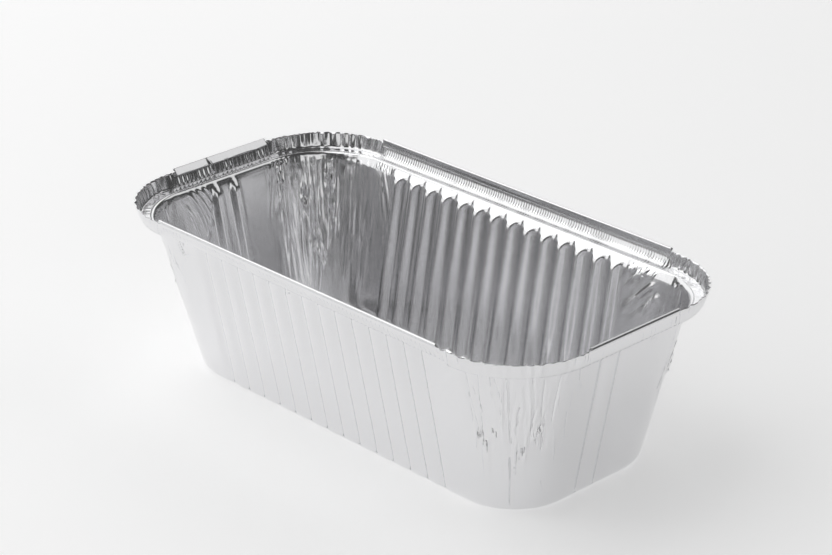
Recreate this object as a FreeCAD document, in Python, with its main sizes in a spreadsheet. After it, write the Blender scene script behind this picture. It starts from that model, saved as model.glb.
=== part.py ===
import FreeCAD, Part
import math
import os

# A loaf tray pressed from one sheet of aluminium foil: a flat base, tapered walls with
# upright flutes, gathered corners, a flat flange and a leaning upstand whose four straight
# stretches are folded over into a rolled hem.
# X runs along the tray, Y across it and Z up. The origin is the middle of the base's
# underside. Lengths are in millimetres and angles in degrees.

Vector = FreeCAD.Vector
doc = FreeCAD.newDocument("foil_tray")

driving = (
    ("lipLength", 220.0, "length over the rolled edges"),
    ("lipWidth", 113.7, "width over the rolled edges"),
    ("lipRadius", 33.7, "corner radius of the lip"),
    ("trayHeight", 68.0, "height from the base to the top of the rolled edge"),
    ("baseLength", 179.8, "length where the wall's line meets the base"),
    ("baseWidth", 76.0, "width where the wall's line meets the base"),
    ("baseRadius", 22.6, "corner radius where the wall's line meets the base"),
    ("baseBend", 3.0, "height of the rounded edge under the walls"),
    ("foilThickness", 0.1, "thickness of the foil"),
    ("upstandHeight", 7.0, "height from the flange's underside to the top of the rolled edge"),
    ("upstandLean", 1.1, "how far the upstand leans out over its height"),
    ("flangeWidth", 3.8, "width of the flat flange"),
    ("stepWidth", 1.2, "width of the rounded step inside the flange"),
    ("stepDrop", 1.4, "drop of the rounded step inside the flange"),
    ("gussetWidth", 1.1, "width from the step's foot to the wall's line"),
    ("gussetDrop", 1.5, "drop from the step's foot to where the ridges are full depth"),
    ("fluteDepth", 2.2, "how far a ridge stands into the tray between two flutes"),
    ("fluteCrest", 2.0, "width of a ridge's flat crest"),
    ("fluteFlank", 1.5, "width of each sloping side of a ridge"),
    ("fluteFloor", 3.75, "width of a flute's flat floor"),
    ("fluteMargin", 5.0, "plain long wall kept beside the flutes"),
    ("fluteShift", -2.7, "how far the row of flutes is off the middle"),
    ("ribDepth", 2.0, "how far a rib of the end walls stands into the tray"),
    ("ribCrest", 3.0, "width of a rib's flat crest"),
    ("ribFlank", 1.3, "width of each sloping side of a rib"),
    ("ribFloor", 3.4, "width of the flat wall between two ribs"),
    ("ribMargin", 4.0, "plain end wall kept beside the ribs"),
    ("ribShift", -2.8, "how far the row of ribs is off the middle"),
    ("gatherPitch", 3.2, "spacing of the gathers round a wall corner"),
    ("gatherDepth", 0.8, "depth of the gathers at the top of a wall corner"),
    ("pleatPitch", 3.8, "spacing of the pleats round a lip corner"),
    ("pleatDepth", 0.8, "depth of the pleats round a lip corner"),
    ("cornerDrop", 1.3, "how much lower the unhemmed corner lip is"),
    ("cornerFlare", 0.7, "how much further out the corner lip leans"),
    ("lipNotch", 0.35, "raggedness of the corner lip"),
    ("ripplePitch", 3.6, "spacing of the ripples on the straight upstands"),
    ("rippleDepth", 0.4, "depth of the ripples on the straight upstands"),
    ("beadDiameter", 1.2, "thickness of the rolled edge"),
    ("hemDepth", 2.9, "depth of the folded hem below the rolled edge's top"),
    ("hemSetback", 1.8, "how far a hem stops short of its corner"),
)

sheet = doc.addObject("Spreadsheet::Sheet", "sizes")
for row, (alias, value, meaning) in enumerate(driving, start=1):
    sheet.set(f"A{row}", meaning)
    sheet.set(f"B{row}", str(value))
    sheet.setAlias(f"B{row}", alias)
doc.recompute()

size = {alias: float(sheet.get(alias)) for alias, value, meaning in driving}

# Sizes that follow from the driving ones
foil = size["foilThickness"]
bead_radius = size["beadDiameter"] / 2
lip_level = size["trayHeight"] - bead_radius
hem_foot = size["trayHeight"] - size["hemDepth"]
flange_level = size["trayHeight"] - size["upstandHeight"]
step_level = flange_level - size["stepDrop"]
wall_top = step_level - size["gussetDrop"]
flange_outset = bead_radius + size["upstandLean"]
flange_inset = flange_outset + size["flangeWidth"]
step_inset = flange_inset + size["stepWidth"]
wall_inset = step_inset + size["gussetWidth"]
flute_pitch = size["fluteCrest"] + 2 * size["fluteFlank"] + size["fluteFloor"]
rib_pitch = size["ribCrest"] + 2 * size["ribFlank"] + size["ribFloor"]
quarter_turn = math.pi / 2

# Chance unevenness, the same in every build: a sine of each fold's number
gather_wander = 2.4
notch_wander = 1.7
least_gather = 0.5


# Plan outlines: half length, half width and corner radius

# Where the wall's straight line meets the level of the base's underside
base_plan = (size["baseLength"] / 2, size["baseWidth"] / 2, size["baseRadius"])


def lip_plan(inset):
    # The lip's outline drawn in by an inset
    return (size["lipLength"] / 2 - inset, size["lipWidth"] / 2 - inset, size["lipRadius"] - inset)


def wall_plan(level):
    # The wall's straight line from the base outline up to its top
    share = level / wall_top
    return tuple(low + (high - low) * share for low, high in zip(base_plan, lip_plan(wall_inset)))


def ridges(middles, crest, flank, depth):
    # Upright ridges on one wall, as places along the wall and how far each is pushed out
    points = []
    for middle in middles:
        points.append((middle - crest / 2 - flank, 0.0))
        points.append((middle - crest / 2, -depth))
        points.append((middle + crest / 2, -depth))
        points.append((middle + crest / 2 + flank, 0.0))
    return points


def ripples(half_straight, depth):
    # Fine even ripples along a straight upstand, which die out at its ends
    count = 2 * max(1, int(half_straight / size["ripplePitch"]))
    pitch = 2 * half_straight / count
    points = []
    for index in range(count):
        start = -half_straight + index * pitch
        points.append((start + pitch / 4, -depth / 2))
        points.append((start + 3 * pitch / 4, depth / 2))
    return points


def gathers(radius, pitch, depth):
    # Uneven pleats round a corner, as how far each equal step of its arc is pushed out
    count = 2 * round(radius * quarter_turn / pitch)
    pushes = [0.0]
    for index in range(1, count):
        chance = (1 + math.sin(gather_wander * index)) / 2
        share = least_gather + (1 - least_gather) * chance
        pushes.append(depth / 2 * share * (-1) ** index)
    pushes.append(0.0)
    return pushes


def outline(plan, long_wall, end_wall, corner):
    # Counter-clockwise plan points: each wall from its start to its end, then its corner
    half_length, half_width, radius = plan
    points = []
    for side in range(4):
        quarter = side * quarter_turn
        outward = Vector(round(math.cos(quarter)), round(math.sin(quarter)), 0)
        along = Vector(-outward.y, outward.x, 0)
        heading = along.x + along.y
        if side % 2 == 0:
            reach, straight, wall = half_length, half_width - radius, end_wall
        else:
            reach, straight, wall = half_width, half_length - radius, long_wall
        for place, push in wall if heading > 0 else reversed(wall):
            points.append(outward * (reach + push) + along * place * heading)
        middle = outward * (reach - radius) + along * straight
        for step, push in enumerate(corner):
            angle = quarter + step * quarter_turn / (len(corner) - 1)
            points.append(middle + Vector(math.cos(angle), math.sin(angle), 0) * (radius + push))
    return points


def ridge_row(straight, pitch, margin, shift):
    # The middles of as many ridges as fit on a wall's straight stretch
    count = int((2 * straight - 2 * margin) / pitch)
    return [shift + (index - (count - 1) / 2) * pitch for index in range(count)]


# The rings of the basin, from the base up the wall to the flange's inner edge

flute_middles = ridge_row(base_plan[0] - base_plan[2], flute_pitch, size["fluteMargin"], size["fluteShift"])
rib_middles = ridge_row(base_plan[1] - base_plan[2], rib_pitch, size["ribMargin"], size["ribShift"])
gather_radius = lip_plan(wall_inset)[2]
bend = size["baseBend"]
bend_middle = bend * (1 - math.sqrt(0.5))


def drawn_in(plan, inset):
    return tuple(part - inset for part in plan)


basin = [
    # plan, level, share of the ridges' depth, share of the gathers' depth
    (drawn_in(wall_plan(0), bend), 0.0, 0.0, 0.0),
    (drawn_in(wall_plan(bend_middle), bend_middle), bend_middle, 0.5, 0.1),
    (wall_plan(bend), bend, 1.0, 0.3),
    (wall_plan(wall_top), wall_top, 1.0, 1.0),
    (lip_plan(step_inset), step_level, 0.25, 0.8),
    (lip_plan(flange_inset), flange_level, 0.0, 0.5),
]


def basin_ring(plan, level, ridge_share, gather_share):
    flutes = ridges(flute_middles, size["fluteCrest"], size["fluteFlank"], size["fluteDepth"] * ridge_share)
    ribs = ridges(rib_middles, size["ribCrest"], size["ribFlank"], size["ribDepth"] * ridge_share)
    corner = gathers(gather_radius, size["gatherPitch"], size["gatherDepth"] * gather_share)
    return [point + Vector(0, 0, level) for point in outline(plan, flutes, ribs, corner)]


# The rings of the upstand, from the flange's outer edge to the lip

straight_length = size["lipLength"] / 2 - size["lipRadius"]
straight_width = size["lipWidth"] / 2 - size["lipRadius"]
half_lean = size["upstandLean"] * (lip_level - hem_foot) / (lip_level - flange_level)

upstand = [
    # plan, level, share of the ripples' depth, of the pleats', of the corner's flare and of its drop
    (lip_plan(flange_outset), flange_level, 1.0, 0.6, 0.0, 0.0),
    (lip_plan(bead_radius + half_lean), hem_foot, 0.0, 1.0, 0.5, 0.0),
    (lip_plan(bead_radius), lip_level, 0.0, 1.0, 1.0, 1.0),
]


def upstand_ring(plan, level, ripple_share, pleat_share, flare_share, drop_share):
    ripple_depth = size["rippleDepth"] * ripple_share
    long_side = ripples(straight_length, ripple_depth)
    end_side = ripples(straight_width, ripple_depth)
    corner = gathers(size["lipRadius"], size["pleatPitch"], size["pleatDepth"] * pleat_share)
    arch = [math.sin(math.pi * step / (len(corner) - 1)) for step in range(len(corner))]
    flare = size["cornerFlare"] * flare_share
    corner = [push + flare * rise for push, rise in zip(corner, arch)]
    ring = []
    for index, point in enumerate(outline(plan, long_side, end_side, corner)):
        in_corner = abs(point.x) > straight_length and abs(point.y) > straight_width
        ragged = size["lipNotch"] * math.sin(notch_wander * index)
        fall = (size["cornerDrop"] - bead_radius + ragged) * drop_share if in_corner else 0.0
        ring.append(point + Vector(0, 0, level - fall))
    return ring


# The foil's inside face lies one thickness inside each ring

def mitre(before, point, after):
    # The shift, per unit of thickness, that keeps both edges at a point parallel to themselves
    first = (point - before).normalize()
    second = (after - point).normalize()
    first_normal = Vector(-first.y, first.x, 0)
    second_normal = Vector(-second.y, second.x, 0)
    return (first_normal + second_normal) / (1 + first_normal.dot(second_normal))


def inner_ring(ring, shift_in, shift_up):
    inner = []
    for index, point in enumerate(ring):
        after = ring[(index + 1) % len(ring)]
        flat = [Vector(corner.x, corner.y, 0) for corner in (ring[index - 1], point, after)]
        inward = mitre(*flat)
        inner.append(point + inward * shift_in + Vector(0, 0, shift_up))
    return inner


def section_shifts():
    # The same mitre in the tray's cross-section, with x outward and y up
    section = [Vector(plan[0], level, 0) for plan, level, *shares in basin + upstand]
    section.insert(0, section[0] - Vector(1, 0, 0))
    section.append(section[-1] * 2 - section[-2])
    shifts = []
    for before, point, after in zip(section, section[1:], section[2:]):
        shift = mitre(before, point, after) * foil
        shifts.append((-shift.x, shift.y))
    return shifts


outer_rings = [basin_ring(*ring) for ring in basin] + [upstand_ring(*ring) for ring in upstand]
inner_rings = [
    inner_ring(ring, inward, upward)
    for ring, (inward, upward) in zip(outer_rings, section_shifts())
]


# Faces of the foil

flatness = 1e-7


def polygon(points):
    return Part.Face(Part.makePolygon(points + points[:1]))


def facet(first, second, third, fourth):
    # One flat face where the four points lie in a plane, otherwise two triangles
    normal = (second - first).cross(fourth - first).normalize()
    if abs(normal.dot(third - first)) < flatness:
        return [polygon([first, second, third, fourth])]
    return [polygon([first, second, third]), polygon([first, third, fourth])]


def band(lower, upper):
    # The strip between two rings that have a point for each other's
    faces = []
    for index in range(len(lower)):
        after = (index + 1) % len(lower)
        faces += facet(lower[index], lower[after], upper[after], upper[index])
    return faces


def flat_ring(outer, inner):
    # A flat face between two rings at one level
    outer_wire = Part.makePolygon(outer + outer[:1])
    inner_wire = Part.makePolygon(inner + inner[:1])
    return Part.makeFace([outer_wire, inner_wire], "Part::FaceMakerBullseye")


def skin(rings):
    basin_part = rings[:len(basin)]
    upstand_part = rings[len(basin):]
    faces = [polygon(basin_part[0])]
    for part in (basin_part, upstand_part):
        for lower, upper in zip(part, part[1:]):
            faces += band(lower, upper)
    faces.append(flat_ring(upstand_part[0], basin_part[-1]))
    return faces


foil_faces = skin(outer_rings) + skin(inner_rings) + band(outer_rings[-1], inner_rings[-1])
foil_shell = Part.Shell(foil_faces)
foil_shell.sewShape()
foil_solid = Part.Solid(foil_shell)
if foil_solid.Volume < 0:
    foil_solid.reverse()

pressed_foil = doc.addObject("Part::Feature", "pressed_foil")
pressed_foil.Label = "pressed_foil"
pressed_foil.Shape = foil_solid
pressed_foil.Placement = FreeCAD.Placement()


# The hems: a rolled bead along the top of each straight upstand, and the flap folded in below it

lean_angle = math.degrees(math.atan(size["upstandLean"] / (lip_level - flange_level)))
long_run = "sizes.lipLength - 2 * (sizes.lipRadius + sizes.hemSetback)"
end_run = "sizes.lipWidth - 2 * (sizes.lipRadius + sizes.hemSetback)"
hems = (
    # name, turn about Z, width across the tray, half of the straight stretch, the hem's length
    ("back", 0, size["lipWidth"], straight_length, long_run),
    ("left", 90, size["lipLength"], straight_width, end_run),
    ("front", 180, size["lipWidth"], straight_length, long_run),
    ("right", 270, size["lipLength"], straight_width, end_run),
)
hem_parts = []
for name, turn, across, half_straight, run in hems:
    # Local axes: x along the hem, y out of the tray and z up the leaning upstand
    facing = FreeCAD.Rotation(Vector(0, 0, 1), turn)
    leaning = facing.multiply(FreeCAD.Rotation(Vector(1, 0, 0), -lean_angle))
    lengthwise = leaning.multiply(FreeCAD.Rotation(Vector(0, 1, 0), 90))
    start = Vector(size["hemSetback"] - half_straight, across / 2 - bead_radius, 0)
    edge = facing.multVec(start) + Vector(0, 0, lip_level)
    flap_foot = leaning.multVec(Vector(0, -2 * foil, bead_radius - size["hemDepth"]))

    bead = doc.addObject("Part::Cylinder", f"{name}_bead")
    bead.setExpression("Radius", "sizes.beadDiameter / 2")
    bead.setExpression("Height", run)
    bead.Placement = FreeCAD.Placement(edge, lengthwise)

    flap = doc.addObject("Part::Box", f"{name}_flap")
    flap.setExpression("Length", run)
    flap.setExpression("Width", "sizes.foilThickness * 1.5")
    flap.setExpression("Height", "sizes.hemDepth - sizes.beadDiameter / 2")
    flap.Placement = FreeCAD.Placement(edge + flap_foot, leaning)
    hem_parts += [bead, flap]

tray = doc.addObject("Part::MultiFuse", "foil_tray")
tray.Label = "foil_tray"
tray.Refine = False
tray.Shapes = [pressed_foil] + hem_parts
tray.Placement = FreeCAD.Placement()
doc.recompute()

for item in doc.Objects:
    if "Invalid" in item.State or "Error" in item.State:
        raise RuntimeError(f"{item.Label} did not build: {item.State}")
if tray.Shape.isNull() or not tray.Shape.isValid():
    raise RuntimeError("foil_tray is not a valid shape")
if len(tray.Shape.Solids) != 1:
    raise RuntimeError(f"foil_tray has {len(tray.Shape.Solids)} solids")

os.makedirs("parts", exist_ok=True)
tray.Shape.exportStep(f"parts/{tray.Label}.step")
box = tray.Shape.BoundBox
print(f"foil_tray: {len(tray.Shape.Faces)} faces, volume {tray.Shape.Volume:.1f} mm3")
print(f"size {box.XLength:.2f} x {box.YLength:.2f} x {box.ZLength:.2f} mm, lowest z {box.ZMin:.3f}")
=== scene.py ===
import math

import bpy
import numpy as np
from mathutils import Matrix, Vector


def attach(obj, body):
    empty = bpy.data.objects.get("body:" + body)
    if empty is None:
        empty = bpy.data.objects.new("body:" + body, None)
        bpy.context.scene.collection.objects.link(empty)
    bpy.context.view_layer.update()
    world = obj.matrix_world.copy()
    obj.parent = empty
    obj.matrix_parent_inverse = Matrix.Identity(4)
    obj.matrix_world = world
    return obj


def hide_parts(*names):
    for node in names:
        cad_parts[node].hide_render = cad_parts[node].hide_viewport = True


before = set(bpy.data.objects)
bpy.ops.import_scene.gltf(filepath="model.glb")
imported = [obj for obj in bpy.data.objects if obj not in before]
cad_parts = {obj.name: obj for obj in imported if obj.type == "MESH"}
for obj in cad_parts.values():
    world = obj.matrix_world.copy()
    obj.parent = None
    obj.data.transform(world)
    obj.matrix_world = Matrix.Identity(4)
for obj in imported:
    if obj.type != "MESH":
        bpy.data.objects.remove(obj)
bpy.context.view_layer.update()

mm = 0.001

# A foil tray: X along it, Y across and Z up, with the middle of its underside at the origin.
# Lengths are in millimetres, and turned into metres where a mesh is made.
# Its four walls are numbered 0 right end, 1 back, 2 left end and 3 front, and each corner
# has the number of the wall before it: 0 right back, 1 left back, 2 left front, 3 right front.

tray = {
    "lipLength": 220.0,
    "lipWidth": 113.7,
    "lipRadius": 33.7,
    "height": 68.0,
    "baseLength": 179.8,
    "baseWidth": 76.0,
    "baseRadius": 22.6,
    "baseBend": 3.0,
    "flangeLevel": 61.0,
    "wallTop": 58.1,
    "wallInset": 7.8,
    "foil": 0.1,
    "seed": 11,
}

chance = np.random.default_rng(tray["seed"])
quarter = math.pi / 2
wallRadius = 25.0               # a middling corner radius of the walls, for lengths round them
wayRound, wayUp = 640, 90       # more than the way round the tray, and than its height
leastGap = 0.12                 # columns of points nearer than this become one


def straights(length, width, radius):
    # Half of the straight stretch of each wall
    return [width / 2 - radius, length / 2 - radius] * 2


lipStraights = straights(tray["lipLength"], tray["lipWidth"], tray["lipRadius"])
baseStraights = straights(tray["baseLength"], tray["baseWidth"], tray["baseRadius"])


def wallMiddle(wall, radius):
    # Length round the tray at the middle of a wall
    length = lipStraights[0]
    for number in range(wall):
        length += lipStraights[number] + radius * quarter + lipStraights[number + 1]
    return length


def onWall(wall, where, radius=wallRadius):
    # Length round the tray of a place on a wall, given by its X or Y
    return wallMiddle(wall, radius) + where * (1 if wall in (0, 3) else -1)


def onCorner(corner, degrees, radius=wallRadius):
    # Length round the tray of a place on a corner
    return wallMiddle(corner, radius) + lipStraights[corner] + math.radians(degrees) * radius


def layOutColumns(wallPlaces, cornerCount, radius):
    # Columns of points round the tray, counter-clockwise from the start of the right end wall
    wall, place, angle, corner, run = [], [], [], [], []
    for number in range(4):
        turn = 1 if number in (0, 3) else -1
        places = np.sort(np.array(wallPlaces(number)) * turn)
        keep = np.concatenate([[True], np.diff(places) > leastGap])
        places = places[keep]
        turns = np.linspace(0, quarter, cornerCount)[1:-1]
        wall += [number] * (len(places) + len(turns))
        place += list(places) + [0.0] * len(turns)
        angle += [0.0] * len(places) + list(turns)
        corner += [False] * len(places) + [True] * len(turns)
        middle = wallMiddle(number, radius)
        run += list(middle + places) + list(middle + lipStraights[number] + radius * turns)
    wall, place, angle, corner = np.array(wall), np.array(place), np.array(angle), np.array(corner)
    # Each corner shares out its columns from the end of one base straight to the start of the next
    lip, base, arc = np.array(lipStraights), np.array(baseStraights), tray["lipRadius"] * quarter
    late, early = ~corner & (place > base[wall]), ~corner & (place < -base[wall])
    bend = np.where(early, (wall - 1) % 4, wall)
    first, second = (lip - base)[bend], (lip - base)[(bend + 1) % 4]
    along = np.where(late, place - base[wall], first + tray["lipRadius"] * angle)
    along = np.where(early, first + arc + second - (-place - base[wall]), along)
    return {
        "count": len(wall),
        "wall": wall,
        "place": place,
        "degrees": np.degrees(angle),
        "corner": corner,
        "run": np.array(run),
        "where": place * np.where(np.isin(wall, (0, 3)), 1, -1),
        "long": wall % 2 == 1,
        "flat": ~corner & ~late & ~early,
        "bend": bend,
        "share": along / (first + arc + second),
    }


def outline(columns, plan, push=0.0):
    # Plan points of one ring, each pushed outwards
    halfLength, halfWidth, radius = plan
    reach = np.array([halfLength, halfWidth] * 2)
    straight = np.array([halfWidth, halfLength] * 2) - radius
    extra = straight - np.array(baseStraights)
    bend, flat = columns["bend"], columns["flat"]
    number = np.where(flat, columns["wall"], bend)
    outX, outY = np.round(np.cos(number * quarter)), np.round(np.sin(number * quarter))
    first, second, arc = extra[bend], extra[(bend + 1) % 4], radius * quarter
    along = columns["share"] * (first + second + arc) - first
    before, after = np.minimum(along, 0), np.maximum(along - arc, 0)
    turn = number * quarter + np.clip(along / radius, 0, quarter)
    pushX, pushY = np.where(flat, outX, np.cos(turn)), np.where(flat, outY, np.sin(turn))
    out = reach[number] - np.where(flat, 0.0, radius)
    side = np.where(flat, columns["place"], straight[number] + before)
    back = np.where(flat, 0.0, after)
    push = push + np.where(flat, 0.0, radius)
    x = outX * (out - back) - outY * side + pushX * push
    y = outY * (out - back) + outX * side + pushY * push
    return x, y


def lipPlan(inset):
    return tray["lipLength"] / 2 - inset, tray["lipWidth"] / 2 - inset, tray["lipRadius"] - inset


def wallPlan(level):
    share = level / tray["wallTop"]
    low = (tray["baseLength"] / 2, tray["baseWidth"] / 2, tray["baseRadius"])
    return tuple(a + (b - a) * share for a, b in zip(low, lipPlan(tray["wallInset"])))


# Ways in which foil folds. Each works on a grid of levels (rows) over lengths round the tray

def smooth(value):
    value = np.clip(value, 0, 1)
    return value * value * (3 - 2 * value)


def softNoise(run, level, across, tall):
    # Smooth chance values from -1 to 1, stretched to a width and a height
    lattice = chance.uniform(-1, 1, (int(wayRound / across) + 5, int(wayUp / tall) + 5))
    a, b = np.maximum(run + 10, 0) / across, (level + 8) / tall
    i, j = np.floor(a).astype(int), np.floor(b).astype(int)
    s, t = smooth(a - i), smooth(b - j)
    low = lattice[i, j] * (1 - s) + lattice[i + 1, j] * s
    high = lattice[i, j + 1] * (1 - s) + lattice[i + 1, j + 1] * s
    return low * (1 - t) + high * t


def sharpNoise(run, level, across, tall):
    # The same with sharp ridges
    return 1 - 2.6 * np.abs(softNoise(run, level, across, tall))


def zigzag(run, narrow, wide):
    # Flat facets of uneven width that lean in and out by turns, also a little beyond the way round
    bends, heights = [-40.0], [0.0]
    while bends[-1] < wayRound + 60:
        bends.append(bends[-1] + chance.uniform(narrow, wide))
        heights.append((-1) ** len(bends) * chance.uniform(0.25, 1.0))
    return np.interp(run, bends, heights)


def crease(push, run, level, start, end, width, depth, bow=0.0, head=False, whole=False, soft=False):
    # A pinched fold between two places (length round the tray, level), sharp along its line unless soft.
    # It fades out towards its end unless whole, and also towards its start with a head
    gap, across, rise = run - start[0], end[0] - start[0], end[1] - start[1]
    full = math.hypot(across, rise)
    near = np.abs(gap - across / 2) < abs(across) / 2 + width + abs(bow) + 0.5
    if not near.any():
        return
    a, b = gap[None, near], level[:, near] - start[1]
    along = (a * across + b * rise) / full ** 2
    aside = (a * rise - b * across) / full - bow * np.sin(np.pi * np.clip(along, 0, 1))
    shape = np.clip(1 - np.abs(aside) / width, 0, 1)
    shape = smooth(shape) if soft else shape ** 1.4
    taper = np.where((along > 0) & (along < 1), 1.0, 0.0)
    if not whole:
        taper = taper * smooth((1 - along) * 2.2)
    if soft:
        taper = smooth(along * 3.5) * smooth((1 - along) * 5)
    if head:
        taper = taper * smooth(along * 4)
    push[:, near] += depth * shape * taper


def crumple(push, run, level, middle, reach, cell, depth):
    # Crushed facets round one place, each tilted its own way
    gap = run - middle[0]
    near = np.abs(gap) < reach[0]
    a = np.broadcast_to(gap[None, near], level[:, near].shape)
    b = level[:, near] - middle[1]
    count = max(6, int(4 * reach[0] * reach[1] / cell ** 2))
    seeds = (chance.random((count, 2)) * 2 - 1) * np.array(reach)
    tilt = chance.normal(0, 1, (count, 3))
    apart = (a[..., None] - seeds[:, 0]) ** 2 + ((b[..., None] - seeds[:, 1]) * 0.7) ** 2
    nearest = apart.argmin(-1)
    lean = tilt[nearest, 0] * (a - seeds[nearest, 0]) + tilt[nearest, 1] * (b - seeds[nearest, 1])
    fade = smooth(1.3 * (1 - (a / reach[0]) ** 2 - (b / reach[1]) ** 2))
    push[:, near] += depth * (tilt[nearest, 2] * 0.5 + lean / cell) * fade


def unevenness(run, level, size, depth):
    # Slow waves of a thin pressed sheet, which close up round the tray
    total, length = np.zeros(level.shape), run.max() + 0.4
    for number in range(7):
        turns = max(1, round(length / size * (0.5 + chance.random())))
        phase, lean = chance.random() * 6.3, (chance.random() - 0.5) * 6.3 / size
        total += np.sin(2 * np.pi * turns * run[None, :] / length + phase + lean * level)
    return total * depth / 2.6


def makePiece(name, points, faces, material, thick=True):
    mesh = bpy.data.meshes.new(name)
    mesh.from_pydata((np.asarray(points) * mm).tolist(), [], faces)
    mesh.update()
    mesh.shade_smooth()
    mesh.materials.append(material)
    piece = bpy.data.objects.new(name, mesh)
    bpy.context.scene.collection.objects.link(piece)
    if thick:
        skin = piece.modifiers.new("foilThickness", "SOLIDIFY")
        skin.thickness = tray["foil"] * mm
        skin.offset = -1
        bpy.context.view_layer.update()
        solid = piece.evaluated_get(bpy.context.evaluated_depsgraph_get())
        piece.data = bpy.data.meshes.new_from_object(solid)
        piece.modifiers.clear()
    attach(piece, "root")
    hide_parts("foil_tray")
    piece.data.calc_loop_triangles()
    print(name, "has", len(piece.data.loop_triangles), "triangles")


def gridFaces(rowCount, columnCount):
    faces = []
    for row in range(rowCount - 1):
        low, high = row * columnCount, (row + 1) * columnCount
        for column in range(columnCount):
            after = (column + 1) % columnCount
            faces.append((low + column, low + after, high + after, high + column))
    return faces


# The pan: base, rounded edge, fluted walls and step, up to the flange's inner edge

pan = {
    "fluteFirst": -59.575,          # X of the flute nearest the left end
    "flutePitch": 8.75,
    "fluteCount": 14,
    "fluteCrest": 1.1,
    "fluteFlank": 2.4,
    "fluteDepth": 2.1,
    "fluteReach": 4.6,
    "fluteTop": 60.2,
    "fluteTopFade": 3.4,
    "fluteWidening": 1.5,           # how much wider the flanks are at its top, and from which level
    "fluteWideningFrom": 56.4,
    "fluteFoot": (0.7, 0.3, 35),    # share of the depth at its foot, the rest, and the height that takes
    "frontFlutes": {"flank": 0.8, "soft": 0.4, "less": 0.15},   # the front wall's are shallower and rounder
    "ribMiddles": [-7.3, 1.7],
    "ribCrest": 2.0,
    "ribFlank": 2.3,
    "ribDepth": 2.0,
    "ribSoft": 0.8,
    "ribReach": 5.0,
    "ribTop": 60.4,
    "ribTopFade": 4.5,
    "ribArch": 0.25,
    "rightRibs": {"flank": 1.0, "less": 0.4},                   # so are the right end's
    "footFade": 2.6,                # height over which flutes and ribs rise out of the rounded edge
    "cornerColumns": 222,
    "endColumns": 112,
    "fluteColumns": (0.0, 0.6, 1.1, 1.6, 2.1, 2.7, 3.4),        # on either side of a flute's middle
    "plainGaps": (3.9, 5.2),        # from the outer flutes' middles to the plain wall beyond
    "plainColumns": (40, 44),
    "baseShares": [0.3, 0.75],
    "baseSpine": 60,
    "baseWave": 0.12,
    "bendRows": 4,
    "wallLevels": [(3.0, 50.0, 34), (50.0, 56.5, 7)],
    # the step as insets and levels, and how much further in it is rolled at the ends
    "section": [(7.95, 57.3), (7.8, 58.1), (7.52, 58.5), (7.24, 58.9), (6.96, 59.3), (6.68, 59.7),
                (6.42, 60.1), (6.16, 60.45), (5.92, 60.79), (5.7, 60.95), (5.5, 61.0), (5.3, 60.97)],
    "endRoll": ([57.3, 58.1, 58.9, 59.7, 60.1, 60.45, 60.79, 60.95, 61.0],
                [0.0, 0.05, 0.35, 0.65, 0.74, 0.74, 0.6, 0.35, 0.0]),
    "waveSize": 40,
    "waveDepth": 0.09,
}

fluteMiddles = [pan["fluteFirst"] + pan["flutePitch"] * number for number in range(pan["fluteCount"])]
cornerBlend = 12.0      # degrees of a corner over which an end wall's section ends

gather = {
    # fine folds all over a corner: depth, width, height, and their share of the drift and of the lean
    "folds": [(0.14, 2.6, 24, 1.0, 1), (0.07, 1.3, 12, 1.3, 1), (0.03, 1.1, 3.0, 0, 0)],
    "drift": 1.6,
    "driftSize": (9, 15),
    "lean": 0.07,
    "leanLevel": 58,
    "sideFade": 9,
    "footFade": 26,
    "topFade": 50,
    # single chance folds: each range is the least and what chance adds to it
    "foldDegrees": (3, 87),
    "foldTopBelow": 26,
    "foldLength": (8, 38),
    "foldFoot": 4.0,
    "foldWidth": (0.38, 0.7),
    "foldDepth": (0.15, 0.5),
    "foldBow": 0.4,
    "headBelow": 56,
    "crumpleCell": 1.7,
    "crumpleDepth": 0.75,
    "fanWidth": (0.55, 0.5),
    "fanBow": (0.6, 0.4),
    "softFrom": 0.8,                # puckers wider than this are soft
    "end": 60.9,
}

corners = {
    # how strongly each corner is gathered, how far round the tray that reaches, how many chance folds it
    # has, where it is crushed (degrees, level, half width, half height) and its single creases (degrees and
    # level at both ends, width, depth, bow)
    0: {"strength": 0.8, "reach": 25, "folds": 34,
        "crushed": [(40, 40, 4, 9), (62, 24, 4, 8)],
        "creases": []},
    1: {"strength": 1.0, "reach": 28, "folds": 38,
        "crushed": [(56, 29, 3.5, 5), (63, 43, 2.4, 7), (49, 21, 2.6, 4), (38, 36, 2.0, 6),
                    (41, 50, 2.6, 6)],
        "creases": [(36, 41, 44, 24, 0.6, 0.35, 0.9), (52, 20, 55, 8, 0.6, -0.3, 0.4)]},
    2: {"strength": 0.85, "reach": 26, "folds": 34,
        "crushed": [(48, 34, 4, 9), (30, 20, 3, 6)],
        "creases": []},
    3: {"strength": 1.05, "reach": 25, "folds": 38,
        "crushed": [(14, 32, 1.4, 4), (19, 28, 1.8, 2.5), (25, 34, 1.8, 2.5), (50, 25, 2.4, 4),
                    (62, 33, 2.8, 6)],
        "creases": [(4, 59, 13, 31, 0.6, -0.8, 0.3), (11, 52, 25, 35, 0.55, -0.55, 0.3),
                    (23, 57, 33, 38, 0.6, 0.5, -0.4), (28, 58, 38, 40, 0.55, -0.5, 0.2),
                    (39, 58, 40, 30, 0.55, -0.6, 0.3), (39, 25, 39, 15, 0.55, -0.8, 0.0),
                    (39, 15, 38, 3, 0.5, -0.5, 0.0), (41, 20, 47, 13, 0.7, 0.6, -0.5),
                    (47, 13, 54, 15, 0.7, 0.6, -0.5), (47, 46, 45, 38, 0.5, -0.7, 0.2),
                    (60, 45, 56, 35, 0.5, -0.7, 0.2), (67, 42, 67, 27, 0.5, -0.8, 0.0),
                    (77, 57, 74, 38, 0.6, -0.6, 0.3), (70, 14, 74, 8, 0.6, -0.5, 0.0)]},
}

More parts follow.
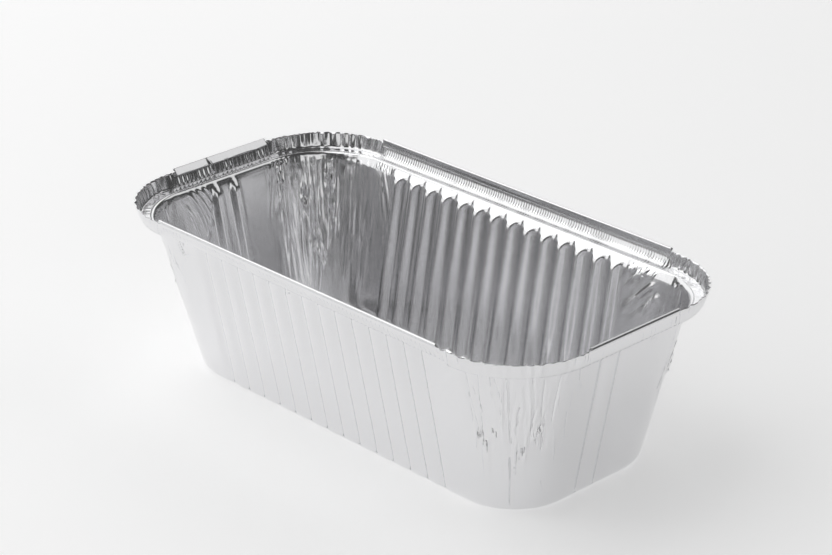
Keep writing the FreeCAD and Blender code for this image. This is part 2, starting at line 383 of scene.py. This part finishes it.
puckers = [
    # wall, from (where, level), to (where, level), width, depth, bow
    (1, (59.5, 51.5), (71.5, 60.2), 1.7, -0.8, 0.8),
    (1, (58.5, 40.0), (77.0, 57.5), 2.0, -0.8, 1.0),
    (1, (61.0, 56.5), (66.5, 61.0), 1.2, -0.55, 0.4),
    (1, (69.0, 43.0), (78.5, 52.5), 1.7, -0.6, 0.5),
    (1, (63.0, 38.0), (74.0, 48.0), 1.5, -0.35, 0.5),
    (1, (60.5, 57.0), (63.5, 60.6), 0.9, -0.5, 0.2),
    (1, (67.0, 57.5), (70.5, 60.8), 0.9, -0.5, 0.2),
    (1, (72.5, 57.5), (74.5, 60.8), 1.0, -0.5, 0.2),
    (2, (-22.5, 61.0), (-14.0, 40.0), 1.5, -0.8, 1.8),
    (2, (-20.0, 61.5), (-11.5, 44.5), 1.5, -0.7, 1.6),
    (2, (-17.0, 61.5), (-10.5, 50.0), 1.4, -0.65, 1.2),
    (2, (-14.0, 61.5), (-10.0, 55.0), 1.2, -0.5, 0.6),
    (2, (-24.0, 56.0), (-19.0, 38.0), 1.3, -0.5, 0.8),
    (3, (-17.0, 57.5), (-15.0, 56.0), 0.6, -1.1, 0.0),
    (3, (-13.5, 57.0), (-11.0, 56.5), 0.5, -1.0, 0.0),
    (3, (-9.0, 56.5), (-8.0, 56.0), 0.5, -0.9, 0.0),
]

fans = [
    # wall, from (where, level), to (where, level), how many folds, spread to the next, depth, extra width
    (1, (-74, 60), (-62.5, 28), 14, (1.0, 1.2), 0.34, 0),
    (1, (62, 45), (76, 58), 4, (-0.5, 2.6), 0.25, 0.5),
    (1, (60.5, 60.8), (58, 53), 9, (1.9, 0.0), 0.45, 0.3),
    (2, (22, 60), (14, 37), 9, (1.6, 0.3), 0.36, 0),
    (3, (78, 58), (62, 48), 9, (0.0, -2.2), 0.45, 0.9),
    (3, (-76, 58), (-71, 49), 5, (1.8, 0.6), 0.5, 0.2),
    (0, (20, 58), (16, 38), 6, (-1.4, 0.2), 0.28, 0),
    (0, (-22, 58), (-17, 42), 5, (1.3, 0.2), 0.25, 0),
]


def panPlaces(wall):
    # Places along a wall, closer together where a flute turns
    if wall % 2 == 0:
        return list(np.linspace(-lipStraights[0], lipStraights[0], pan["endColumns"]))
    places = [middle + sign * part for middle in fluteMiddles
              for sign in (-1, 1) for part in pan["fluteColumns"]]
    places += [middle + pan["flutePitch"] / 2 for middle in fluteMiddles]
    first, last = fluteMiddles[0] - pan["plainGaps"][0], fluteMiddles[-1] + pan["plainGaps"][1]
    places += list(np.linspace(-lipStraights[1], first, pan["plainColumns"][0]))
    places += list(np.linspace(last, lipStraights[1], pan["plainColumns"][1]))
    return places


def panRows():
    # The section from the flat base to the flange's inner edge, as outlines and levels
    rows, bend = [], tray["baseBend"]
    for step in range(pan["bendRows"]):
        t = step / pan["bendRows"]
        inset, level = bend * (1 - t) ** 2, bend * t ** 2
        rows.append((tuple(part - inset for part in wallPlan(level)), level))
    for low, high, count in pan["wallLevels"]:
        rows += [(wallPlan(level), level) for level in np.linspace(low, high, count, endpoint=False)]
    top = pan["wallLevels"][-1][1]
    rows.append((wallPlan(top), top))
    rows += [(lipPlan(inset) if level >= tray["wallTop"] else wallPlan(level), level)
             for inset, level in pan["section"]]
    return rows


def ridge(offset, crest, flank, soft):
    # Height share of an upright ridge with turned shoulders
    share = np.clip((crest / 2 + flank - np.abs(offset)) / flank, 0, 1)
    return share + (smooth(share) - share) * soft


def pressRidges(columns, level):
    # Flutes and ribs, as how far they stand into the tray
    push = np.zeros(level.shape)
    straight, number = ~columns["corner"], columns["wall"]
    low = smooth(level / pan["footFade"])
    footShare, footRest, footHeight = pan["fluteFoot"]
    own = pan["frontFlutes"]
    for middle in fluteMiddles:
        offset = columns["where"] - middle
        near = straight & columns["long"] & (np.abs(offset) < pan["fluteReach"])
        here, front = level[:, near], (number[near] == 3)[None, :] * 1.0
        widening = smooth((here - pan["fluteWideningFrom"]) / pan["fluteTopFade"]) ** 1.5
        flank = pan["fluteFlank"] + own["flank"] * front + pan["fluteWidening"] * widening
        limit = pan["fluteDepth"] * np.clip((pan["fluteTop"] - here) / pan["fluteTopFade"], 0, 1)
        fade = low[:, near] * np.maximum(footShare + footRest * smooth(here / footHeight), front)
        crest = pan["fluteCrest"] * (1 - front)
        height = pan["fluteDepth"] * ridge(offset[None, near], crest, flank, 0.5 + own["soft"] * front) * fade
        height = height * (1 - own["less"] * front)
        push[:, near] = np.minimum(push[:, near], -np.minimum(height, limit))
    own = pan["rightRibs"]
    for middle in pan["ribMiddles"]:
        offset = columns["where"] - middle
        near = straight & ~columns["long"] & (np.abs(offset) < pan["ribReach"])
        here, right = level[:, near], (number[near] == 0)[None, :] * 1.0
        arch = smooth((pan["ribTop"] - here - pan["ribArch"] * offset[None, near] ** 2) / pan["ribTopFade"])
        crest, flank = pan["ribCrest"] * (1 - right), pan["ribFlank"] + own["flank"] * right
        height = pan["ribDepth"] * ridge(offset[None, near], crest, flank, pan["ribSoft"])
        height = height * (1 - own["less"] * right)
        push[:, near] = np.minimum(push[:, near], -height * arch * low[:, near])
    return push


def chanceFold(push, run, level, number):
    # One of a corner's folds, anywhere round it and of any length
    strength = corners[number]["strength"]
    degrees = chance.uniform(*gather["foldDegrees"])
    top = tray["wallTop"] + 1 - chance.random() ** 2 * gather["foldTopBelow"]
    least, more = gather["foldLength"]
    foot = max(top - least - more * chance.random() ** 1.3, gather["foldFoot"])
    start = (onCorner(number, degrees), top)
    end = (onCorner(number, degrees + (degrees - 45) * 0.1 + chance.normal(0, 2)), foot)
    least, more = gather["foldWidth"]
    width = least + more * chance.random() ** 2
    least, more = gather["foldDepth"]
    depth = chance.choice((-1, 1)) * strength * (least + more * chance.random() ** 2)
    crease(push, run, level, start, end, width, depth,
           bow=chance.normal(0, gather["foldBow"]), head=top < gather["headBelow"])


def gatherCorners(columns, level):
    # Creases where the sheet is drawn together round each corner
    push, folds = np.zeros(level.shape), np.zeros(level.shape)
    run, degrees = columns["run"], columns["degrees"]
    lengths = np.broadcast_to(run[None, :], level.shape)
    drift = gather["drift"] * softNoise(lengths, level, *gather["driftSize"])
    fromMiddle = np.where(columns["corner"], (degrees - 45) / 45, 0.0)[None, :]
    lean = fromMiddle * (level - gather["leanLevel"]) * gather["lean"]
    for depth, across, tall, drifting, leaning in gather["folds"]:
        folds += depth * sharpNoise(lengths + drifting * drift - leaning * lean, level, across, tall)
    fade = smooth(level / gather["footFade"]) * (0.45 + 0.55 * smooth(level / gather["topFade"]))
    for number, corner in corners.items():
        away = np.abs(run - onCorner(number, 45))
        share = corner["strength"] * smooth((corner["reach"] - away) / gather["sideFade"])[None, :]
        push += folds * share * fade
        for fold in range(corner["folds"]):
            chanceFold(push, run, level, number)
        for place, height, halfWidth, halfHeight in corner["crushed"]:
            crumple(push, run, level, (onCorner(number, place), height), (halfWidth, halfHeight),
                    gather["crumpleCell"], gather["crumpleDepth"] * corner["strength"])
        for place, height, toPlace, toHeight, width, depth, bow in corner["creases"]:
            crease(push, run, level, (onCorner(number, place), height), (onCorner(number, toPlace), toHeight),
                   width, depth, bow=bow, whole=True)
    for wall, start, end, count, spread, depth, wide in fans:
        # each fold strays a little from an even fan, and every other one is weaker and the other way
        for number in range(count):
            shift = number + chance.uniform(-0.25, 0.25)
            sign = 1 if number % 2 else -0.7
            first = (onWall(wall, start[0] + shift * spread[0] * 0.6), start[1] + shift * spread[1] * 0.4)
            last = (onWall(wall, end[0] + shift * spread[0] * 0.4 + chance.normal(0, 0.4)),
                    end[1] + shift * spread[1] + chance.normal(0, 1.2))
            width = gather["fanWidth"][0] + gather["fanWidth"][1] * chance.random() + wide
            crease(push, run, level, first, last, width, sign * depth * chance.uniform(0.6, 1.3),
                   bow=chance.normal(*gather["fanBow"]), soft=wide > 0)
    for wall, start, end, width, depth, bow in puckers:
        crease(push, run, level, (onWall(wall, start[0]), start[1]), (onWall(wall, end[0]), end[1]),
               width, depth, bow=bow, whole=True, soft=width > gather["softFrom"])
    return push * smooth((gather["end"] - level) / 2.0)


def rollEnds(columns, level):
    # The end walls and corners turn over onto the flange with a tight roll
    degrees = columns["degrees"]
    share = np.where(columns["long"], degrees - cornerBlend, 90 - cornerBlend - degrees) / cornerBlend
    share = np.where(columns["corner"], smooth(share), ~columns["long"] * 1.0)
    return -np.interp(level, *pan["endRoll"]) * share


def buildPan(material):
    columns = layOutColumns(panPlaces, pan["cornerColumns"], wallRadius)
    rows = panRows()
    level = np.array([row[1] for row in rows])[:, None] * np.ones((1, columns["count"]))
    push = pressRidges(columns, level) + gatherCorners(columns, level) + rollEnds(columns, level)
    waves = unevenness(columns["run"], level, pan["waveSize"], pan["waveDepth"])
    push += waves * smooth(level / 10) * smooth((60 - level) / 4)       # none at the base and the flange
    points = []
    edgeX, edgeY = outline(columns, rows[0][0])
    spine = np.clip(edgeX, -pan["baseSpine"], pan["baseSpine"])
    for share in pan["baseShares"]:
        x, y = spine + (edgeX - spine) * share, edgeY * share
        wave = np.abs(np.sin(x / 9.0) * np.sin(y / 7.0 + 1))
        points.append(np.stack([x, y, pan["baseWave"] * wave * smooth((1 - share) * 3)], 1))
    for number, (plan, height) in enumerate(rows):
        x, y = outline(columns, plan, push[number])
        points.append(np.stack([x, y, level[number]], 1))
    faces = gridFaces(len(points), columns["count"])
    faces.append(tuple(range(columns["count"]))[::-1])
    makePiece("trayPan", np.concatenate(points), faces, material, thick=False)


# The rim: the flange, the leaning upstand, its rolled hems and the pleated corner lips

rim = {
    "step": 0.21,
    "cornerColumns": 200,
    # where each wall's hem starts and ends, along X or Y
    "hemEnds": [(-22.7, 20.5), (-75.6, 74.5), (-21.4, 23.4), (-74.3, 71.7)],
    "hemCut": 0.2,          # width of the cut between a hem's end and the lip beside it
    "hemmedTop": 66.95,
    # the flange and upstand as insets and levels, and how much further the left end's leans in
    "endSection": [(5.5, 61.0), (5.15, 61.0), (4.8, 61.0), (4.2, 61.0), (3.5, 61.0), (2.7, 61.0),
                   (2.2, 61.03), (1.8, 61.25), (1.62, 61.9), (1.5, 62.6), (1.38, 63.3), (1.25, 64.0),
                   (1.13, 64.8), (1.02, 65.5), (0.92, 66.2), (0.85, 66.95)],
    "farLean": [0, 0, 0, 0.02, 0.1, 0.55, 0.9, 1.2, 1.2, 1.08, 0.93, 0.78, 0.6, 0.4, 0.2, 0.0],
    # the long walls' section is a quarter of an ellipse beyond three points of flange
    "longCurve": {"from": 4.7, "to": 0.82, "rise": 5.95, "flange": (5.5, 5.1, 4.7), "end": 76, "fade": 4},
    # each wall's hem from the upstand's top over the bead and down inside, as insets and heights about
    # the bead's middle
    "hems": ("nearHem", "longHem", "farHem", "longHem"),
    "longHem": [(0.75, -0.5), (0.5, -0.42), (0.14, -0.3), (0.0, 0.0), (0.08, 0.3), (0.3, 0.52),
                (0.6, 0.6), (0.9, 0.52), (1.12, 0.3), (1.2, 0.0), (1.16, -0.35), (1.14, -0.8),
                (1.18, -1.3), (1.26, -1.9), (1.38, -2.4)],
    "nearHem": [(0.75, -0.5), (0.3, -0.58), (0.02, -0.5), (0.1, -0.22), (0.2, 0.06), (0.3, 0.33),
                (0.45, 0.52), (0.65, 0.6), (0.95, 0.5), (1.25, 0.2), (1.5, -0.1), (1.76, -0.45),
                (2.03, -0.8), (2.28, -1.15), (2.5, -1.5)],
    "farHem": [(0.75, -0.5), (0.4, -0.5), (0.03, -0.38), (0.0, -0.2), (0.12, 0.22), (0.3, 0.52),
               (0.48, 0.6), (0.6, 0.55), (0.9, 0.2), (1.2, -0.15), (1.5, -0.5), (1.8, -0.85),
               (2.1, -1.2), (2.4, -1.55), (2.66, -1.85)],
    "hemWave": (0.2, 0.08, 0.2, 0.08),      # how ragged each wall's hem is, below its wave level
    "hemWaveLevel": -0.6,
    "hemWaveSize": (5, 10),
    "beadLevel": 67.4,
    "cornerDrop": 1.3,
    "cornerFlare": 0.7,
    "notch": 0.22,
    "notchWidths": (0.5, 2.6),
    "pleatDepth": 0.55,
    "pleatWidths": (1.1, 2.8),
    "finePleatShare": 0.15,
    "finePleatWidths": (0.6, 1.4),
    "pleatSlant": 0.2,
    "slantSize": (6, 30),
    # ripples on each wall, and the radial wrinkles of the corners' flange
    "ripplePitch": [2.1, 1.22, 2.1, 2.0],
    "rippleDepth": [0.10, 0.085, 0.16, 0.22],
    "rippleTop": [65.8, 64.6, 65.8, 65.8],
    "rippleFade": 1.4,
    "rippleUneven": (3, 10),
    "rippleBend": 4.7,      # inset at which the ripples stand highest on the flange
    "spokeDepth": 0.09,
    "spokeSize": (1.6, 12),
    # the left end's pinch leans from the Y of its foot to that of its top
    "pinch": {"wall": 2, "foot": -3.9, "top": -5.4, "from": 62, "rise": 5.6, "end": 68.3,
              "depth": 0.9, "width": 0.9, "flangeShare": 0.7},
}


def rimPlaces(wall):
    (start, end), cut, straight = rim["hemEnds"][wall], rim["hemCut"], lipStraights[wall]
    count = round(2 * straight / rim["step"])
    return list(np.linspace(-straight, straight, count)) + [start, start - cut, end, end + cut]


def rimSection(columns):
    # Insets and levels of flange and upstand in every column, and how far the sheet has turned upright
    wall, degrees, corner = columns["wall"], columns["degrees"], columns["corner"]
    curve, endSection = rim["longCurve"], np.array(rim["endSection"])
    turns = np.concatenate([[0, 0, 0], np.linspace(0, 1, len(endSection) - 2)[1:]]) * quarter
    longSection = np.stack([curve["from"] - (curve["from"] - curve["to"]) * np.sin(turns),
                            tray["flangeLevel"] + curve["rise"] * (1 - np.cos(turns))], 1)
    longSection[:3, 0] = curve["flange"]
    longShare = columns["long"] * ~corner * smooth((curve["end"] - np.abs(columns["where"])) / curve["fade"])
    mixed = longSection[:, :, None] * longShare + endSection[:, :, None] * (1 - longShare)
    farShare = np.where(wall == 2, smooth(1 - degrees / cornerBlend), 0)
    farShare = farShare + corner * (wall == 1) * smooth((degrees - (90 - cornerBlend)) / cornerBlend)
    inset = mixed[:, 0] + np.array(rim["farLean"])[:, None] * farShare
    upright = smooth(endSection[:, 1:] - tray["flangeLevel"])
    tilt = turns[:, None] * longShare + quarter * upright * (1 - longShare)
    return inset, mixed[:, 1], tilt


def foldRim(columns, hemmed, arch, inset, level, rise, tilt):
    # How far pleats and ripples stand out, and how far they lift the flange
    run, wall, corner = columns["run"], columns["wall"], columns["corner"]
    lengths = np.broadcast_to(run[None, :], level.shape)
    slant = rim["pleatSlant"] * softNoise(lengths, level, *rim["slantSize"]) * (level - tray["flangeLevel"])
    pleats = zigzag(run[None, :] + slant, *rim["pleatWidths"])
    pleats = pleats + rim["finePleatShare"] * zigzag(run[None, :] - slant, *rim["finePleatWidths"])
    fold = rim["pleatDepth"] * ~hemmed
    push = pleats * fold * (0.3 + 0.7 * smooth(rise * 1.3)) * smooth(rise * 12)

    pitch = np.array(rim["ripplePitch"])[wall]
    ripple = (np.sin(2 * np.pi * run / pitch + 0.9 * np.sin(run / 5.0))
              * (1 + 0.5 * softNoise(run, 0 * run, *rim["rippleUneven"])))[None, :]
    ripple = ripple * np.array(rim["rippleDepth"])[wall] * ~corner
    ripple = ripple * smooth((np.array(rim["rippleTop"])[wall] - level) / rim["rippleFade"])
    push = push + ripple * np.sin(tilt) ** 2
    bend = np.clip(1 - np.abs(inset - rim["rippleBend"]) / 0.6, 0, 1)
    lift = -ripple * np.cos(tilt) * (smooth((5.3 - inset) / 0.5) + 1.2 * bend)
    lift = lift * columns["long"]

    spokes = sharpNoise(lengths, inset * 3, *rim["spokeSize"])
    lift = lift + (rim["spokeDepth"] * spokes * np.where(corner, smooth(arch * 2), 0.0)
                   * smooth(inset - 2.0) * smooth((5.5 - inset) / 0.8))
    return push, lift - tray["foil"] * smooth(1 - rise * 6)     # the flange's upper skin meets the pan


def pinched(columns, height):
    # How far the pinch in the left end's hem pulls it in at a height
    pinch = rim["pinch"]
    line = pinch["foot"] + (pinch["top"] - pinch["foot"]) * (height - pinch["from"]) / pinch["rise"]
    near = np.clip(1 - np.abs(columns["where"] - line) / pinch["width"], 0, 1)
    near = near * (columns["wall"] == pinch["wall"]) * ~columns["corner"]
    fade = smooth((height - tray["flangeLevel"]) / 2)
    return -pinch["depth"] * near ** 1.2 * fade * smooth((pinch["end"] - height) / 2.6)


def buildHems(columns, hemmed, material):
    run, points, faces = columns["run"], [], []
    for number in range(4):
        hem = np.flatnonzero(hemmed & (columns["wall"] == number))
        hem = np.union1d(hem[::2], hem[[0, 1, -2, -1]])
        below = None
        for back, height in rim[rim["hems"][number]]:
            wave, middle = 0.0, rim["beadLevel"] + height
            if height < rim["hemWaveLevel"] and back > 1:
                wave = rim["hemWave"][number] * softNoise(run, 0 * run, *rim["hemWaveSize"])
                wave = wave * (rim["hemWaveLevel"] - height)
            x, y = outline(columns, lipPlan(0), -back + pinched(columns, middle))
            ring = np.stack([x, y, middle + wave + 0 * x], 1)[hem]
            above = len(points) + np.arange(len(hem))
            points += list(ring)
            if below is not None:
                faces += np.stack([below[:-1], below[1:], above[1:], above[:-1]], 1).tolist()
            below = above
    makePiece("trayHem", points, faces, material)


def buildRim(material):
    columns = layOutColumns(rimPlaces, rim["cornerColumns"], tray["lipRadius"])
    run, corner, where = columns["run"], columns["corner"], columns["where"]
    hemmed = np.zeros(columns["count"], bool)
    for number, (start, end) in enumerate(rim["hemEnds"]):
        hemmed |= (columns["wall"] == number) & ~corner & (where > start - 0.01) & (where < end + 0.01)
    inset, level, tilt = rimSection(columns)
    flange, ragged = tray["flangeLevel"], rim["notch"] * zigzag(run, *rim["notchWidths"])
    top = np.where(hemmed, rim["hemmedTop"], tray["height"] - rim["cornerDrop"] + ragged)
    rise = np.clip((level - flange) / (rim["hemmedTop"] - flange), 0, 1)
    level = flange + rise * (top - flange)
    arch = np.where(corner, np.sin(np.radians(columns["degrees"]) * 2), 0.0)
    inset = inset - rim["cornerFlare"] * arch * rise ** 1.5
    push, lift = foldRim(columns, hemmed, arch, inset, level, rise, tilt)
    points = []
    for row in range(len(level)):
        pull = pinched(columns, level[row]) * rim["pinch"]["flangeShare"]
        x, y = outline(columns, lipPlan(0), push[row] + pull - inset[row])
        points.append(np.stack([x, y, level[row] + lift[row]], 1))
    makePiece("trayFlange", np.concatenate(points), gridFaces(len(level), columns["count"]), material)
    buildHems(columns, hemmed, material)


# Bright rolled foil: streaks up the walls from pressing, and a fine crinkle all over

foil = {
    "colour": (0.83, 0.83, 0.84, 1.0),
    "roughness": 0.18,
    "roughnessSpread": 0.08,
    "streaks": {"scale": 600.0, "stretch": 0.035, "detail": 3.0, "strength": 0.06, "height": 0.0002},
    "crinkle": {"scale": 170.0, "bend": 0.6, "detail": 1.0, "strength": 0.05, "height": 0.0004},
}


def emptyMaterial(name):
    material = bpy.data.materials.new(name)
    material.use_nodes = True
    material.node_tree.nodes.clear()
    return material


def addNode(material, kind, values=None):
    node = material.node_tree.nodes.new(kind)
    for socket, value in (values or {}).items():
        node.inputs[socket].default_value = value
    return node


def foilFinish():
    material = emptyMaterial("brightFoil")
    streaks, crinkle, spread = foil["streaks"], foil["crinkle"], foil["roughnessSpread"] / 2
    output = addNode(material, "ShaderNodeOutputMaterial")
    metal = addNode(material, "ShaderNodeBsdfPrincipled", {"Base Color": foil["colour"], "Metallic": 1.0})
    place = addNode(material, "ShaderNodeTexCoord")
    upright = addNode(material, "ShaderNodeMapping", {"Scale": (1.0, 1.0, streaks["stretch"])})
    lines = addNode(material, "ShaderNodeTexNoise", {"Scale": streaks["scale"], "Detail": streaks["detail"]})
    creases = addNode(material, "ShaderNodeTexNoise",
                      {"Scale": crinkle["scale"], "Detail": crinkle["detail"], "Distortion": crinkle["bend"]})
    rough = addNode(material, "ShaderNodeMapRange",
                    {"To Min": foil["roughness"] - spread, "To Max": foil["roughness"] + spread})
    fine, coarse = [addNode(material, "ShaderNodeBump",
                            {"Strength": part["strength"], "Distance": part["height"]})
                    for part in (streaks, crinkle)]
    for source, target in (
        (place.outputs["Object"], upright.inputs["Vector"]),
        (upright.outputs["Vector"], lines.inputs["Vector"]),
        (place.outputs["Object"], creases.inputs["Vector"]),
        (lines.outputs["Fac"], rough.inputs["Value"]),
        (rough.outputs["Result"], metal.inputs["Roughness"]),
        (lines.outputs["Fac"], fine.inputs["Height"]),
        (creases.outputs["Fac"], coarse.inputs["Height"]),
        (fine.outputs["Normal"], coarse.inputs["Normal"]),
        (coarse.outputs["Normal"], metal.inputs["Normal"]),
        (metal.outputs["BSDF"], output.inputs["Surface"]),
    ):
        material.node_tree.links.new(source, target)
    return material


# Floor, light and camera

studio = {
    "floorSize": 8.0,
    "floorLevel": -0.0003,
    "floorColour": (0.90, 0.90, 0.90, 1.0),
    "floorGlow": 0.36,
    "worldColour": (1, 1, 1, 1),
    "worldStrength": 0.07,
    "lampTarget": (0, 0, 0.03),
    "lamps": [
        # name, place, width, height, power
        ("leftSoftbox", (-1.2, 0.6, 0.78), 2.0, 1.2, 7.6),
        ("frontLeftSoftbox", (-0.68, -1.12, 0.76), 1.6, 1.1, 5.4),
        ("backSoftbox", (0.485, 1.03, 1.13), 1.29, 0.74, 2.3),
        ("overheadSoftbox", (-0.55, -0.35, 1.28), 1.2, 1.2, 5.4),
        ("frontRightSoftbox", (1.17, -0.74, 0.62), 1.1, 0.8, 2.2),
    ],
}


def floorFinish():
    # A pale matt floor that also glows a little where the camera, metal or glass sees it
    material = emptyMaterial("paleFloor")
    link = material.node_tree.links.new
    path = addNode(material, "ShaderNodeLightPath")
    seen = path.outputs["Is Camera Ray"]
    for ray in ("Is Glossy Ray", "Is Transmission Ray"):
        either = addNode(material, "ShaderNodeMath")
        either.operation = "MAXIMUM"
        link(seen, either.inputs[0])
        link(path.outputs[ray], either.inputs[1])
        seen = either.outputs[0]
    level = addNode(material, "ShaderNodeMath", {1: studio["floorGlow"]})
    level.operation = "MULTIPLY"
    glow = addNode(material, "ShaderNodeEmission")
    matt = addNode(material, "ShaderNodeBsdfDiffuse", {"Color": studio["floorColour"]})
    both = addNode(material, "ShaderNodeAddShader")
    output = addNode(material, "ShaderNodeOutputMaterial")
    link(seen, level.inputs[0])
    link(level.outputs[0], glow.inputs["Strength"])
    link(matt.outputs[0], both.inputs[0])
    link(glow.outputs[0], both.inputs[1])
    link(both.outputs[0], output.inputs["Surface"])
    return material


def buildStudio():
    half = studio["floorSize"] / 2
    mesh = bpy.data.meshes.new("studioFloor")
    edge = [(-half, -half, 0), (half, -half, 0), (half, half, 0), (-half, half, 0)]
    mesh.from_pydata(edge, [], [(0, 1, 2, 3)])
    mesh.materials.append(floorFinish())
    floor = bpy.data.objects.new("studioFloor", mesh)
    floor.location.z = studio["floorLevel"]
    bpy.context.scene.collection.objects.link(floor)
    world = bpy.data.worlds.new("studio")
    world.use_nodes = True
    sky = world.node_tree.nodes["Background"]
    sky.inputs["Color"].default_value = studio["worldColour"]
    sky.inputs["Strength"].default_value = studio["worldStrength"]
    bpy.context.scene.world = world
    for name, place, width, height, power in studio["lamps"]:
        lamp = bpy.data.lights.new(name, "AREA")
        lamp.shape = "RECTANGLE"
        lamp.size, lamp.size_y = width, height
        lamp.energy = power
        holder = bpy.data.objects.new(name, lamp)
        holder.location = place
        aim = Vector(studio["lampTarget"]) - Vector(place)
        holder.rotation_euler = aim.to_track_quat("-Z", "Y").to_euler()
        bpy.context.scene.collection.objects.link(holder)


view = {
    # angles in degrees, and the camera's place in millimetres from the tray's underside
    "azimuth": 46.795,
    "elevation": 24.403,
    "roll": -0.752,
    "distance": 952.14,
    "across": 5.707,
    "up": 44.621,
    "raise": 1.8,
    "lens": 111.85,
    "sensor": 36.0,
    "shift": (-0.0163, -0.0004),
    "clip": (0.01, 50.0),
}


def buildCamera():
    a, e, r = (math.radians(view[key]) for key in ("azimuth", "elevation", "roll"))
    back = Vector((math.sin(a) * math.cos(e), -math.cos(a) * math.cos(e), math.sin(e)))
    right = Vector((math.cos(a), math.sin(a), 0))
    up = back.cross(right)
    right, up = right * math.cos(r) + up * math.sin(r), up * math.cos(r) - right * math.sin(r)
    centre = back * view["distance"] + right * view["across"] + up * view["up"]
    centre += Vector((0, 0, view["raise"]))
    data = bpy.data.cameras.new("photoCamera")
    data.lens = view["lens"]
    data.sensor_width = view["sensor"]
    data.shift_x, data.shift_y = view["shift"]
    data.clip_start, data.clip_end = view["clip"]
    camera = bpy.data.objects.new("photoCamera", data)
    camera.matrix_world = Matrix.Translation(centre * mm) @ Matrix((right, up, back)).transposed().to_4x4()
    bpy.context.scene.collection.objects.link(camera)
    bpy.context.scene.camera = camera


foilMaterial = foilFinish()
print("foil finish made")
buildPan(foilMaterial)
buildRim(foilMaterial)
buildStudio()
print("studio made")
buildCamera()
print("camera made")

bpy.context.scene.view_settings.view_transform = "Standard"
